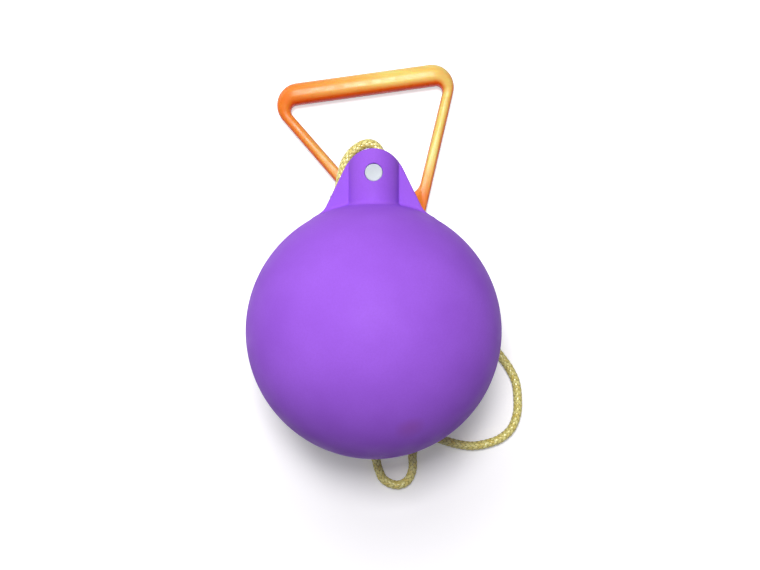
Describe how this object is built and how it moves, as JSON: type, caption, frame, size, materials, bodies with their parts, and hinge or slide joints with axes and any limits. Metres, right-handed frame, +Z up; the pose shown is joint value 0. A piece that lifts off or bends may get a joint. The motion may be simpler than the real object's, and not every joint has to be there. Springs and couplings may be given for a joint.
{
  "type": "training throwing hammer",
  "caption": "Soft hollow ball with a moulded lug, a braided rope laid in a loop and a triangular one-piece grip handle.",
  "frame": {"origin": "middle of the vent plug's flat head, on which the ball rests on the ground", "axes": "+Y from the ball towards the handle's bar, +Z up, +X to the right seen from above"},
  "size_m": [0.1878, 0.301, 0.165],
  "materials": {
    "soft_shell": "satin soft vinyl",
    "plug_rubber": "matt",
    "cap_plastic": "satin",
    "pin_plastic": "satin",
    "rope_yarn": "braided, slightly glossy yarn",
    "sleeve_metal": "satin",
    "handle_plastic": "glossy moulded"
  },
  "bodies": {
    "head": {"ball_shell": "soft_shell", "vent_plug": "plug_rubber", "lug_pin": "pin_plastic", "pin_cap_front": "cap_plastic", "pin_cap_rear": "cap_plastic", "rope_head_eye": "rope_yarn", "head_sleeve": "sleeve_metal", "rope": "rope_yarn"},
    "handle": {"handle_frame": "handle_plastic", "rope_tail": "rope_yarn", "stopper_knot": "rope_yarn"}
  },
  "joints": [
    {"name": "handle_lift", "type": "hinge", "parent": "head", "child": "handle", "pos_m": [0.0169, 0.0694, 0.0075], "axis": [0.9905, 0.1374, 0], "range_deg": [0, 40]}
  ]
}
